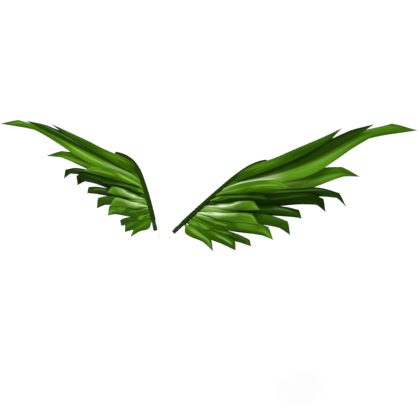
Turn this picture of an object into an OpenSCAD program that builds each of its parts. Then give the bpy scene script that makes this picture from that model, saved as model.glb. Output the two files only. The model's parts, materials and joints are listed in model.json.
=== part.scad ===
// A pair of leafy costume wings, worn on the back.
// Each wing is a wrapped wire stem that carries twelve long leaf blades and six
// shorter cover leaves. A small clear yoke joins the two stems: each foot sits in
// a socket that swings on a hinge, so the wings can fold back.
// The wearer stands on the -Y side, facing -Y. The origin is the middle of the
// yoke's back face, +X runs to the right-hand wing and +Z is up.

/* [Yoke] */
// Width of the yoke's back plate
plate_w = 44; // [40:1:48]
// Height of the yoke's back plate
plate_h = 64; // [60:1:90]
// Thickness of the yoke's back plate
plate_t = 4; // [3:0.5:5]
// Radius of the plate's corners
plate_corner_r = 8; // [4:1:12]
// Length of each strap slot
slot_len = 26; // [16:1:28]
// Height of each strap slot
slot_h = 4.5; // [3:0.5:6]
// Height of each strap slot above or below the middle
slot_z = 25; // [24:0.5:26]
// Diameter of the four screw holes
screw_hole_d = 4; // [3:0.1:5]
// Distance between the screw holes, both ways
screw_pitch = 14; // [12:1:16]

/* [Hinges and sockets] */
// Distance from the middle to each hinge pin
hinge_x = 17; // [17:0.5:18]
// Diameter of a hinge pin
pin_d = 4; // [3:0.5:5]
// Outside diameter of a hinge knuckle
knuckle_d = 9; // [8:0.5:10]
// Height of the middle knuckle, on the socket
knuckle_h = 26; // [20:1:30]
// Length of the stem that sits in its socket
socket_depth = 26; // [18:1:28]
// Thickness of the socket's wall
socket_wall = 2; // [1.5:0.25:2.5]

/* [Stems] */
// Distance between the feet of the two stems
foot_gap = 60; // [58:1:66]
// Diameter of the steel core of a stem
core_d = 6; // [4:0.5:7]
// Diameter of a stem over its tape wrap
wrap_d = 12; // [10:0.5:13]
// Turn of a stem away from the sideways direction, seen from above
stem_turn = 43; // [40:1:46]
// Rise of the first part of a stem above level
stem_rise = 41; // [38:1:44]

/* [Leaves] */
// Thickness of a leaf blade
leaf_t = 0.9; // [0.6:0.1:1.2]
// Crown of a leaf blade, as a share of its width
leaf_crown = 0.1; // [0.05:0.01:0.14]
// Diameter of the wire behind each leaf
wire_d = 1.5; // [1:0.1:1.8]

/* [Hidden] */
// Clearances
RUN_FIT = 0.05;      // radial, between a pin or stem and its bore
HINGE_GAP = 0.4;     // along the pin, between two knuckles
GLUE_GAP = 0.05;     // between a leaf and the wire behind it
SEAT_GAP = 0.2;      // between a head or knob and the face it sits over

// Yoke
knuckle_clear = 1.8; // between the plate and the moving knuckle
hinge_y = plate_t + knuckle_clear + knuckle_d / 2;
hinge_lug_h = 6;
lug_root = 1;        // how deep a lug's web is sunk in the plate
lug_z = knuckle_h / 2 + HINGE_GAP + hinge_lug_h / 2;
hinge_top = lug_z + hinge_lug_h / 2;
pin_len = 2 * hinge_top + 5;
pin_head_r = pin_d / 2 + 1.6;
pin_head_h = 2;
screw_d = 4;
screw_knob_r = 5;
screw_knob_h = 4;
screw_boss_wall = 2;
screw_boss_h = 1.5;  // above the socket's tube
web_t = 8;
web_h = 15;
CUT = 1;             // how far a cut runs past the face it opens
slot_end_r = slot_h / 2 - 0.05;

// Stem: a straight foot, then three bends in one plane, each [radius, angle]
STEM_FOOT_LEN = 30;
STEM_BENDS = [[1500, 6.5], [220, 13.5], [90, 50]];
STEM_ROLL = 186.5;   // turns the plane of the bends about the foot
foot = [foot_gap / 2, hinge_y + 4, 0];
foot_cap_t = 1.5;
sleeve_end = socket_depth + 2;
LONG_STEP = 24;      // between the stem's rings where it bends gently
SHORT_STEP = 6;      // between the stem's rings where it bends most
CORE_SIDES = 12;
WRAP_SIDES = 16;
CORE_END = 2;        // the wrap closes over this much past the core's top

// A leaf blade's rings, from the root to the tip
RINGS_TO_MID = 5;
RINGS_TO_KNEE = 4;
RINGS_TO_TIP = 4;
ACROSS = [-1, -0.5, 0, 0.5, 1];
PETIOLE_W = 5;
ROOT_TILT = 3.5;     // degrees that a root is tilted for each mm that its blade leans
KNEE_ROUND = 0.3;    // 0 is a corner at the knee, 1 a smooth bend
PETIOLE_GAP = 2.6;   // between a leaf's root and the stem's wrap
WIRE_RINGS = 9;      // the wire runs behind this many of the rings
WIRE_SIDES = 6;
WIRE_BITE = 1;       // how deep a wire is bedded in the stem's wrap

// Leaf outlines, drawn on the bowed sheet that the leaves lie along.
// [station along the stem, depth behind the sheet at the middle, at the knees and
//  at the tip, lean of the upper edge forwards, [pull of the root along the stem,
//  spread of its edges, turn towards the front], then x, z of: upper middle,
//  upper knee, tip, lower knee, lower middle]
LEAVES = [
  [215, [-18, -8, -6], 2, [1.1, 0.6, 1.4], [300, 215], [410, 265], [450, 285], [420, 255], [310, 195]],
  [200, [-3, -3, -5], -2, [1.0, 0.35, 0.2], [320, 205], [470, 280], [520, 295], [490, 270], [345, 190]],
  [186, [3, 6, -5], -3, [0.8, 0.3, 0.1], [345, 200], [550, 295], [600, 285], [510, 265], [362, 166]],
  [172, [18, 8, -8], 0, [0.6, 0.2, 0.3], [335, 170], [450, 195], [495, 180], [455, 175], [350, 130]],
  [144, [4, 7, 3], 3, [0.5, 0.3, -0.3], [265, 120], [445, 130], [465, 100], [440, 120], [295, 105]],
  [122, [-3, 8, 5], 4, [0.5, 0.3, -0.3], [255, 105], [405, 110], [415, 80], [390, 95], [240, 75]],
  [101, [-2, -8, -13], 4, [0.4, 0.45, 0], [220, 75], [350, 80], [360, 60], [335, 60], [220, 55]],
  [92, [-5, 0, -4], 4, [0.4, 0.35, 0.3], [195, 60], [320, 45], [330, 10], [300, 25], [205, 35]],
  [76, [-1, 2, 4], 4, [0.3, 0.35, 0], [155, 40], [270, 25], [285, -10], [255, 0], [155, 10]],
  [62, [4, 10, 16], 4, [0.2, 0.35, 0], [130, 15], [220, -15], [225, -35], [195, -25], [120, -5]],
  [49, [2, 4, 5], 4, [0.1, 0.35, 0], [105, 10], [185, -20], [190, -45], [155, -30], [105, -10]],
  [38, [-4, -5, -10], 4, [-0.2, 0.35, 0], [90, 15], [130, -15], [140, -45], [105, -25], [60, -5]],
];
COVER_LEAVES = [
  [156, [-28, -42, -45], 3, [0.8, 0.15, 0.9], [210, 140], [305, 155], [335, 140], [280, 130], [195, 110]],
  [133, [-24, -34, -36], 3, [0.6, 0.15, 0.9], [180, 105], [260, 115], [275, 105], [240, 100], [170, 85]],
  [111, [-20, -30, -31], 3, [0.5, 0.15, 0.9], [170, 85], [235, 95], [255, 75], [220, 70], [155, 65]],
  [84, [-14, -18, -19], 3, [0.4, 0.15, 0.9], [155, 55], [230, 60], [250, 35], [215, 35], [145, 35]],
  [69, [-10, -12, -13], 3, [0.3, 0.15, 0.9], [130, 35], [180, 30], [200, 15], [170, 10], [120, 15]],
  [56, [-10, -10, -10], 2, [0.2, 0.15, 0.9], [85, 30], [110, 20], [125, 10], [105, 10], [85, 25]],
];

YOKE_NODES = ["back_plate"];
WING_NODES = [
  "hinge_pin", "pin_cap", "socket", "lock_screw", "foot_sleeve", "stem_core", "stem_wrap", "leaf_wires"
];

$fn = 64;

// ---------- geometry of the stem ----------

function unit(v) = v / norm(v);

// Length of the stem up to the start of bend i
function bend_start(i) =
  i == 0 ? STEM_FOOT_LEN : bend_start(i - 1) + STEM_BENDS[i - 1][0] * STEM_BENDS[i - 1][1] * PI / 180;
stem_len = bend_start(len(STEM_BENDS));

// Heading of the stem in its own plane where bend i starts
function bend_heading(i) = i == 0 ? 0 : bend_heading(i - 1) + STEM_BENDS[i - 1][1];

// Where bend i starts, in the stem's own plane
function bend_point(i) = i == 0 ? [STEM_FOOT_LEN, 0] : along_bend(i - 1, STEM_BENDS[i - 1][1]);

// The point an angle a round bend i
function along_bend(i, a) =
  let (r = STEM_BENDS[i][0], h = bend_heading(i))
  bend_point(i) + r * [sin(h + a) - sin(h), cos(h) - cos(h + a)];

// Which bend a station lies in, or -1 for the straight foot
function bend_at(s) = len([for (i = [0:len(STEM_BENDS) - 1]) if (s >= bend_start(i)) i]) - 1;

function stem_flat(s) =
  let (i = bend_at(s))
  i < 0 ? [s, 0] : along_bend(i, (s - bend_start(i)) / STEM_BENDS[i][0] * 180 / PI);

function stem_heading(s) =
  let (i = bend_at(s))
  i < 0 ? 0 : bend_heading(i) + (s - bend_start(i)) / STEM_BENDS[i][0] * 180 / PI;

// Turns a direction of the stem's own frame into the part's frame
function roll_x(v, a) = [v.x, v.y * cos(a) - v.z * sin(a), v.y * sin(a) + v.z * cos(a)];
function rise_y(v, a) = [v.x * cos(a) - v.z * sin(a), v.y, v.x * sin(a) + v.z * cos(a)];
function turn_z(v, a) = [v.x * cos(a) - v.y * sin(a), v.x * sin(a) + v.y * cos(a), v.z];
function from_stem(v) = turn_z(rise_y(roll_x(v, STEM_ROLL), stem_rise), stem_turn);

function stem_point(s) = foot + from_stem([stem_flat(s).x, stem_flat(s).y, 0]);
function stem_tangent(s) = from_stem([cos(stem_heading(s)), sin(stem_heading(s)), 0]);

// ---------- geometry of a leaf ----------

// Depth (y) of the bowed sheet that the leaves lie along
function sheet_y(x, z) =
  let (u = x / 100, w = z / 100)
  -4 + 65 * u - 12 * u * u + 64 * w - 19 * u * w + 0.8 * u * u * u;

function on_sheet(p, depth) = [p.x, sheet_y(p.x, p.y) + depth, p.y];

function hermite(a, b, dir_a, dir_b, t) =
  let (len = norm(b - a))
  (2 * t ^ 3 - 3 * t ^ 2 + 1) * a + (t ^ 3 - 2 * t ^ 2 + t) * len * dir_a
  + (3 * t ^ 2 - 2 * t ^ 3) * b + (t ^ 3 - t ^ 2) * len * dir_b;

// Points along one edge of a leaf, from its root to just short of its tip
function leaf_edge(root, start, mid, knee, tip) =
  let (
    blade_dir = unit(knee - mid),
    tip_dir = unit(tip - knee),
    dir_mid = unit(unit(mid - root) + blade_dir),
    into_knee = unit(blade_dir + KNEE_ROUND * tip_dir),
    out_of_knee = unit(KNEE_ROUND * blade_dir + tip_dir)
  )
  concat(
    [for (i = [0:RINGS_TO_MID - 1]) hermite(root, mid, start, dir_mid, i / RINGS_TO_MID)],
    [for (i = [0:RINGS_TO_KNEE - 1]) hermite(mid, knee, dir_mid, into_knee, i / RINGS_TO_KNEE)],
    [for (i = [0:RINGS_TO_TIP - 1]) hermite(knee, tip, out_of_knee, tip_dir, i / RINGS_TO_TIP)]
  );

// Everything that a leaf's blade and wire are built from:
// [upper edge, lower edge, tip, direction of the root away from the stem]
function leaf_frame(leaf) =
  let (
    depth = leaf[1],
    lean = leaf[2],
    pull = leaf[3][0],
    spread = leaf[3][1],
    turn = leaf[3][2],
    centre = stem_point(leaf[0]),
    along = stem_tangent(leaf[0]),
    upper_mid = on_sheet(leaf[4], depth[0] - lean),
    upper_knee = on_sheet(leaf[5], depth[1] - lean),
    tip = on_sheet(leaf[6], depth[2]),
    lower_knee = on_sheet(leaf[7], depth[1] + lean),
    lower_mid = on_sheet(leaf[8], depth[0] + lean),
    middle = (upper_mid + lower_mid) / 2 - centre,
    facing = unit(middle) + turn * [0, -1, 0],
    away = unit(facing - (facing * along) * along),
    root = centre + (wrap_d / 2 + PETIOLE_GAP) * away,
    start = unit(unit(middle) + pull * along),
    flat = unit(along - (along * start) * start),
    tilt = ROOT_TILT * lean,
    across = cos(tilt) * flat + sin(tilt) * cross(start, flat),
    upper_root = root + PETIOLE_W / 2 * across,
    lower_root = root - PETIOLE_W / 2 * across
  )
  [
    leaf_edge(upper_root, unit(start + spread * across), upper_mid, upper_knee, tip),
    leaf_edge(lower_root, unit(start - spread * across), lower_mid, lower_knee, tip),
    tip,
    away
  ];

// Front of a blade at ring k: the unit direction square to its edges and its run
function leaf_front(frame, k) =
  let (
    upper = frame[0],
    lower = frame[1],
    before = max(k - 1, 0),
    after = min(k + 1, len(upper) - 1),
    run = (upper[after] + lower[after]) - (upper[before] + lower[before])
  )
  unit(cross(run, upper[k] - lower[k]));

// A point of ring k, f from -1 at the lower edge to 1 at the upper, raised by lift
function leaf_point(frame, k, f, lift) =
  let (
    upper = frame[0][k],
    lower = frame[1][k],
    crown = leaf_crown * norm(upper - lower) * (1 - f * f)
  )
  (upper + lower) / 2 + f * (upper - lower) / 2 + (crown + lift) * leaf_front(frame, k);

// Triangles between consecutive rings of n points each
function skin(rings, n) = [
  for (k = [0:rings - 2]) each [
    for (j = [0:n - 1]) each [
      [k * n + j, k * n + (j + 1) % n, (k + 1) * n + j],
      [k * n + (j + 1) % n, (k + 1) * n + (j + 1) % n, (k + 1) * n + j]
    ]
  ]
];

// ---------- shared shapes ----------

module on_side(side) {
  if (side == "left") mirror([1, 0, 0]) children();
  else children();
}

module in_stem_frame() {
  translate(foot) rotate([0, 0, stem_turn]) rotate([0, -stem_rise, 0]) rotate([STEM_ROLL, 0, 0]) children();
}

// A round bar along the stem between two stations, in the part's frame
module stem_bar(r, first, last, sides) {
  stations = concat(
    [first],
    [for (s = [STEM_FOOT_LEN:LONG_STEP:bend_start(1)]) if (s > first + 1) s],
    [for (s = [bend_start(1) + SHORT_STEP:SHORT_STEP:last - 1]) s],
    [last]
  );
  points = [for (s = stations) each
    let (
      u = unit(cross([0, 0, 1], stem_tangent(s))),
      v = cross(u, stem_tangent(s))
    )
    [for (j = [0:sides - 1]) stem_point(s) + r * (cos(360 * j / sides) * u + sin(360 * j / sides) * v)]
  ];
  foot_end = [for (j = [1:sides - 2]) [0, j + 1, j]];
  base = (len(stations) - 1) * sides;
  top_end = [for (j = [1:sides - 2]) [base, base + j, base + j + 1]];
  polyhedron(points, concat(foot_end, skin(len(stations), sides), top_end), convexity = 6);
}

module blade(leaf) {
  frame = leaf_frame(leaf);
  rings = len(frame[0]);
  n = 2 * len(ACROSS);
  points = concat(
    [for (k = [0:rings - 1]) each concat(
      [for (f = ACROSS) leaf_point(frame, k, f, leaf_t / 2)],
      [for (f = ACROSS) leaf_point(frame, k, -f, -leaf_t / 2)]
    )],
    [frame[2]]
  );
  root_end = [for (j = [1:n - 2]) [0, j + 1, j]];
  tip_end = [for (j = [0:n - 1]) [(rings - 1) * n + j, (rings - 1) * n + (j + 1) % n, rings * n]];
  polyhedron(points, concat(root_end, skin(rings, n), tip_end), convexity = 6);
}

module wire(leaf) {
  frame = leaf_frame(leaf);
  lift = -(leaf_t / 2 + GLUE_GAP + wire_d / 2);
  inside = (frame[0][0] + frame[1][0]) / 2 - (PETIOLE_GAP + WIRE_BITE) * frame[3];
  path = concat(
    [inside + lift * leaf_front(frame, 0)],
    [for (k = [0:WIRE_RINGS - 1]) leaf_point(frame, k, 0, lift)]
  );
  points = [for (k = [0:WIRE_RINGS]) each
    let (
      run = unit(path[min(k + 1, WIRE_RINGS)] - path[max(k - 1, 0)]),
      front = leaf_front(frame, max(k - 1, 0)),
      u = unit(cross(run, front)),
      v = cross(u, run)
    )
    [for (a = [0:360 / WIRE_SIDES:359]) path[k] + wire_d / 2 * (cos(a) * u + sin(a) * v)]
  ];
  first_end = [for (j = [1:WIRE_SIDES - 2]) [0, j + 1, j]];
  base = WIRE_RINGS * WIRE_SIDES;
  last_end = [for (j = [1:WIRE_SIDES - 2]) [base, base + j, base + j + 1]];
  polyhedron(points, concat(first_end, skin(WIRE_RINGS + 1, WIRE_SIDES), last_end), convexity = 6);
}

// A flat plate with round corners, standing in the XZ plane, thick along +Y
module rounded_plate(w, h, r, t) {
  rotate([90, 0, 0]) translate([0, 0, -t]) linear_extrude(t) {
    square([w, h - 2 * r], center = true);
    square([w - 2 * r, h], center = true);
    for (x = [-1, 1], z = [-1, 1]) translate([x * (w / 2 - r), z * (h / 2 - r)]) circle(r = r);
  }
}

// ---------- sub-parts ----------

module hinge_lug() {
  web_from = plate_t - lug_root;
  translate([0, hinge_y, 0]) cylinder(d = knuckle_d, h = hinge_lug_h, center = true);
  translate([-knuckle_d / 2, web_from, -hinge_lug_h / 2]) cube([knuckle_d, hinge_y - web_from, hinge_lug_h]);
}

module pin_bore() {
  translate([hinge_x, hinge_y, 0]) cylinder(r = pin_d / 2 + RUN_FIT, h = plate_h, center = true);
}

module back_plate() {
  through = plate_t + 2 * CUT;
  color("aliceblue") difference() {
    union() {
      rounded_plate(plate_w, plate_h, plate_corner_r, plate_t);
      for (x = [-hinge_x, hinge_x], z = [-lug_z, lug_z]) translate([x, 0, z]) hinge_lug();
    }
    for (side = ["right", "left"]) on_side(side) pin_bore();
    for (z = [-slot_z, slot_z]) translate([0, -CUT, z]) rounded_plate(slot_len, slot_h, slot_end_r, through);
    for (x = [-1, 1], z = [-1, 1]) translate([x * screw_pitch / 2, -CUT, z * screw_pitch / 2])
      rotate([-90, 0, 0]) cylinder(d = screw_hole_d, h = through);
  }
}

module hinge_pin(side) {
  color("whitesmoke") on_side(side) translate([hinge_x, hinge_y, hinge_top]) {
    translate([0, 0, SEAT_GAP]) cylinder(r = pin_head_r, h = pin_head_h);
    translate([0, 0, 1 - pin_len]) cylinder(d = pin_d, h = pin_len);
  }
}

module pin_cap(side) {
  color("whitesmoke") on_side(side)
    translate([hinge_x, hinge_y, -hinge_top - SEAT_GAP - pin_head_h]) difference() {
      cylinder(r = pin_head_r, h = pin_head_h);
      translate([0, 0, -CUT]) cylinder(d = pin_d, h = pin_head_h + 2 * CUT);
    }
}

module socket(side) {
  bore_r = wrap_d / 2 + RUN_FIT;
  tube_r = bore_r + socket_wall;
  tube_start = -socket_wall - foot_cap_t;
  color("aliceblue") on_side(side) difference() {
    union() {
      translate([hinge_x, hinge_y, 0]) cylinder(d = knuckle_d, h = knuckle_h, center = true);
      translate([hinge_x, hinge_y - web_t / 2, -web_h / 2]) cube([foot.x - hinge_x, web_t, web_h]);
      in_stem_frame() {
        translate([tube_start, 0, 0]) rotate([0, 90, 0]) cylinder(r = tube_r, h = socket_depth - tube_start);
        translate([socket_depth / 2, 0, 0]) rotate([90, 0, 0])
          cylinder(r = screw_d / 2 + screw_boss_wall, h = tube_r + screw_boss_h);
      }
    }
    pin_bore();
    in_stem_frame() {
      translate([-foot_cap_t, 0, 0]) rotate([0, 90, 0]) cylinder(r = bore_r, h = 2 * socket_depth);
      translate([socket_depth / 2, 0, 0]) rotate([90, 0, 0])
        cylinder(r = screw_d / 2 + RUN_FIT, h = 2 * tube_r);
    }
  }
}

module lock_screw(side) {
  reach = wrap_d / 2 + 2 * RUN_FIT;
  boss_top = wrap_d / 2 + RUN_FIT + socket_wall + screw_boss_h;
  color("whitesmoke") on_side(side) in_stem_frame() translate([socket_depth / 2, 0, 0]) rotate([90, 0, 0]) {
    translate([0, 0, reach]) cylinder(d = screw_d, h = boss_top + 1 - reach);
    translate([0, 0, boss_top + SEAT_GAP]) cylinder(r = screw_knob_r, h = screw_knob_h);
  }
}

module foot_sleeve(side) {
  bottom = RUN_FIT - foot_cap_t;
  color("darkolivegreen") on_side(side) in_stem_frame() difference() {
    translate([bottom, 0, 0]) rotate([0, 90, 0]) cylinder(d = wrap_d, h = sleeve_end - bottom);
    rotate([0, 90, 0]) cylinder(r = core_d / 2 + RUN_FIT, h = 2 * sleeve_end);
  }
}

module stem_core(side) {
  color("dimgray") on_side(side) stem_bar(core_d / 2, 0.1, stem_len - CORE_END, CORE_SIDES);
}

module stem_wrap(side) {
  color("darkolivegreen") on_side(side) difference() {
    stem_bar(wrap_d / 2, sleeve_end + SEAT_GAP, stem_len, WRAP_SIDES);
    stem_bar(core_d / 2 + RUN_FIT, 0, stem_len - CORE_END + RUN_FIT, CORE_SIDES);
  }
}

module leaf_wires(side) {
  color("olivedrab") on_side(side) for (leaf = concat(LEAVES, COVER_LEAVES)) wire(leaf);
}

module leaf(side, i) {
  color("olivedrab") on_side(side) blade(LEAVES[i - 1]);
}

module cover_leaf(side, i) {
  color("yellowgreen") on_side(side) blade(COVER_LEAVES[i - 1]);
}

back_plate();
for (side = ["right", "left"]) {
  hinge_pin(side);
  pin_cap(side);
  socket(side);
  lock_screw(side);
  foot_sleeve(side);
  stem_core(side);
  stem_wrap(side);
  leaf_wires(side);
  for (i = [1:len(LEAVES)])
    leaf(side, i);
  for (i = [1:len(COVER_LEAVES)])
    cover_leaf(side, i);
}
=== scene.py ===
"""Fairy wings: two leafy satin wings on taped stems, held by a small clear yoke."""

import json
import math

import bpy
import numpy as np
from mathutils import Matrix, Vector


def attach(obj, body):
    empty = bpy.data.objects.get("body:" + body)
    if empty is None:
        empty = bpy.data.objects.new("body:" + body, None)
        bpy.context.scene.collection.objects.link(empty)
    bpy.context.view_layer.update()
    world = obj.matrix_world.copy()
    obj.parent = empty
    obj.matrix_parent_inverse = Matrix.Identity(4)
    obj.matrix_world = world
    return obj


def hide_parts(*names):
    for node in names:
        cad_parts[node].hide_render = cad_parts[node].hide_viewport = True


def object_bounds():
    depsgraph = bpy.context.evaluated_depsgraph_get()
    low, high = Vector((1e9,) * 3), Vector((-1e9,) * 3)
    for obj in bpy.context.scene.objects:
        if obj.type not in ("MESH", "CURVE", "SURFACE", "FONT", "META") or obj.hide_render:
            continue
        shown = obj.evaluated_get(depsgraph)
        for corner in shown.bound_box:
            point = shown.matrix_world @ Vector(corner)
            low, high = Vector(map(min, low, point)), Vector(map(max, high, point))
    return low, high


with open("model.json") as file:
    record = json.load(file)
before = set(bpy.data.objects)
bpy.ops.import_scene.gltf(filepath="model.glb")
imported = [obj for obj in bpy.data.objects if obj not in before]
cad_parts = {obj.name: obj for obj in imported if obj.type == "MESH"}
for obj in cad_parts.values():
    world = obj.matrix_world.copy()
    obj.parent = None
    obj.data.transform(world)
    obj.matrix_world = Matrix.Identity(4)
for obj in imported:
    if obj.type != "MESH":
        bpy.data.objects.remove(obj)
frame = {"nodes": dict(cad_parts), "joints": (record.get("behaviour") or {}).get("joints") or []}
CAD_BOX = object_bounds()
NODES = frame["nodes"]
JOINTS = {j["name"]: j for j in frame["joints"]}

MM = 0.001
SIDES = ("right", "left")


# ---------------------------------------------------------------- camera

TURN = math.radians(27.93)  # how far round to the right the eye is
TILT = math.radians(13.18)  # how far it looks down
EYE = Vector((0.621, -0.8867, 0.314))  # in metres
LENS = 35.0  # in mm, as is the film's width
FILM = 36.0


def make_camera():
    """The camera that took the photo."""
    data = bpy.data.cameras.new("camera")
    data.lens = LENS
    data.sensor_width = FILM
    camera = bpy.data.objects.new("camera", data)
    bpy.context.scene.collection.objects.link(camera)
    ahead = Vector(
        (
            -math.sin(TURN) * math.cos(TILT),
            math.cos(TURN) * math.cos(TILT),
            -math.sin(TILT),
        )
    )
    camera.location = EYE
    camera.rotation_mode = "QUATERNION"
    camera.rotation_quaternion = ahead.to_track_quat("-Z", "Y")
    bpy.context.scene.camera = camera


# ---------------------------------------------------------------- node trees


def linear(rgb):
    """An 8-bit screen colour as a linear one, with its alpha."""
    out = []
    for c in rgb:
        c /= 255.0
        out.append(c / 12.92 if c <= 0.04045 else ((c + 0.055) / 1.055) ** 2.4)
    return (*out, 1.0)


class Tree:
    """A material, with a short call for each kind of node that the materials need."""

    def __init__(self, name):
        self.mat = bpy.data.materials.new(name)
        self.mat.use_nodes = True
        self.nodes = self.mat.node_tree.nodes
        self.links = self.mat.node_tree.links
        self.bsdf = self.nodes["Principled BSDF"]

    def add(self, kind, **settings):
        node = self.nodes.new(kind)
        for key, value in settings.items():
            setattr(node, key, value)
        return node

    def plug(self, socket, value):
        if isinstance(value, bpy.types.NodeSocket):
            self.links.new(value, socket)
        else:
            socket.default_value = value

    def attribute(self, name):
        node = self.add("ShaderNodeAttribute", attribute_name=name)
        split = self.add("ShaderNodeSeparateXYZ")
        self.plug(split.inputs[0], node.outputs["Vector"])
        return node.outputs["Vector"], split.outputs

    def math(self, operation, a, b=0.0, c=0.0):
        node = self.add("ShaderNodeMath", operation=operation)
        for socket, value in zip(node.inputs, (a, b, c)):
            self.plug(socket, value)
        return node.outputs[0]

    def times(self, a, b):
        return self.math("MULTIPLY", a, b)

    def between(self, value, low, high):
        """A value from 0 to 1, made to run from low to high."""
        return self.math("MULTIPLY_ADD", value, high - low, low)

    def scaled(self, vector, by):
        node = self.add("ShaderNodeVectorMath", operation="MULTIPLY")
        self.plug(node.inputs[0], vector)
        node.inputs[1].default_value = by
        return node.outputs[0]

    def noise(self, vector, scale=1.0, detail=2.0, roughness=0.5):
        node = self.add("ShaderNodeTexNoise")
        self.plug(node.inputs["Vector"], vector)
        node.inputs["Scale"].default_value = scale
        node.inputs["Detail"].default_value = detail
        node.inputs["Roughness"].default_value = roughness
        return node.outputs["Fac"]

    def remap(self, value, low, high, to_low=0.0, to_high=1.0, smooth=False):
        node = self.add("ShaderNodeMapRange")
        node.interpolation_type = "SMOOTHSTEP" if smooth else "LINEAR"
        for socket, v in zip(node.inputs, (value, low, high, to_low, to_high)):
            self.plug(socket, v)
        return node.outputs[0]

    def mix(self, factor, a, b, kind="MIX"):
        node = self.add("ShaderNodeMix", data_type="RGBA", blend_type=kind)
        colours = [s for s in node.inputs if s.type == "RGBA"]
        self.plug(node.inputs[0], factor)
        self.plug(colours[0], a)
        self.plug(colours[1], b)
        return [s for s in node.outputs if s.type == "RGBA"][0]

    def grey(self, value):
        node = self.add("ShaderNodeCombineColor")
        for socket in node.inputs[:3]:
            self.plug(socket, value)
        return node.outputs[0]

    def ramp(self, value, colours):
        node = self.add("ShaderNodeValToRGB")
        ramp = node.color_ramp
        ramp.interpolation = "EASE"
        while len(ramp.elements) < len(colours):
            ramp.elements.new(0.5)
        for element, (at, colour) in zip(ramp.elements, colours):
            element.position = at
            element.color = colour
        self.plug(node.inputs[0], value)
        return node.outputs[0]

    def bump(self, height, distance, strength=1.0, normal=None):
        node = self.add("ShaderNodeBump")
        node.inputs["Strength"].default_value = strength
        node.inputs["Distance"].default_value = distance
        self.plug(node.inputs["Height"], height)
        if normal is not None:
            self.plug(node.inputs["Normal"], normal)
        return node.outputs[0]

    def finish(self, **sockets):
        for key, value in sockets.items():
            self.plug(self.bsdf.inputs[key.replace("_", " ")], value)
        return self.mat


# ---------------------------------------------------------------- dyes and painted light

GAIN = 0.69  # brings the dyes, given as lit screen colours, down to surface colours
# The dyes are the blades' own greens, and also tones laid on as painted light: the whites and pale
# greens are painted highlights, slate and mist are painted sheen along the ridges of the dark
# blades, and the darkest greens also serve as painted shade.
DYES_AND_PAINTED_LIGHT = {
    "ink": (24, 50, 2),
    "pine": (35, 70, 4),
    "moss": (47, 90, 5),
    "grass": (57, 105, 6),
    "fern": (66, 119, 8),
    "leaf": (78, 134, 16),
    "lime": (92, 150, 26),
    "bright": (112, 170, 40),
    "olive": (84, 122, 30),
    "straw": (124, 170, 64),
    "bloom": (150, 192, 98),
    "spring": (158, 214, 66),
    "pearl": (200, 232, 164),
    "milk": (228, 255, 200),
    "slate": (60, 92, 36),
    "mist": (90, 134, 62),
}


def dye_and_light(name):
    """The linear colour of one of the listed tones, dyes and painted light alike."""
    r, g, b, _ = linear(DYES_AND_PAINTED_LIGHT[name])
    return (r * GAIN, g * GAIN, b * GAIN, 1.0)


def stops(text):
    """'0 milk .4 leaf 1 moss' as places and colours along a ramp."""
    words = text.split()
    return [(float(at), dye_and_light(name)) for at, name in zip(words[::2], words[1::2])]


# The left wing's blades carry other painted highlights and shade than the right's: which dye stands
# in for which.
LEFT_PAINTED_LIGHT = {
    "usual": {"milk": "bloom", "bloom": "straw", "straw": "lime"},
    "pale": {"milk": "pearl", "olive": "straw", "fern": "olive", "moss": "fern"},
    "plain": {
        "milk": "leaf",
        "bloom": "leaf",
        "straw": "leaf",
        "bright": "leaf",
        "spring": "lime",
        "lime": "fern",
        "leaf": "fern",
        "fern": "grass",
        "mist": "moss",
    },
}


def left_look(look):
    """The left-hand copy of a blade's look, with its painted highlights and shade changed."""
    swaps = LEFT_PAINTED_LIGHT[look.get("left", "usual")]

    def swap(text):
        return " ".join(swaps.get(word, word) for word in text.split())

    dyed_and_lit = dict(look)
    for key in ("upper", "middle", "lower"):
        dyed_and_lit[key] = swap(look[key])
    dyed_and_lit["strokes"] = [swap(text) for text in look["strokes"]] + look.get("left_strokes", [])
    return dyed_and_lit
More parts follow.
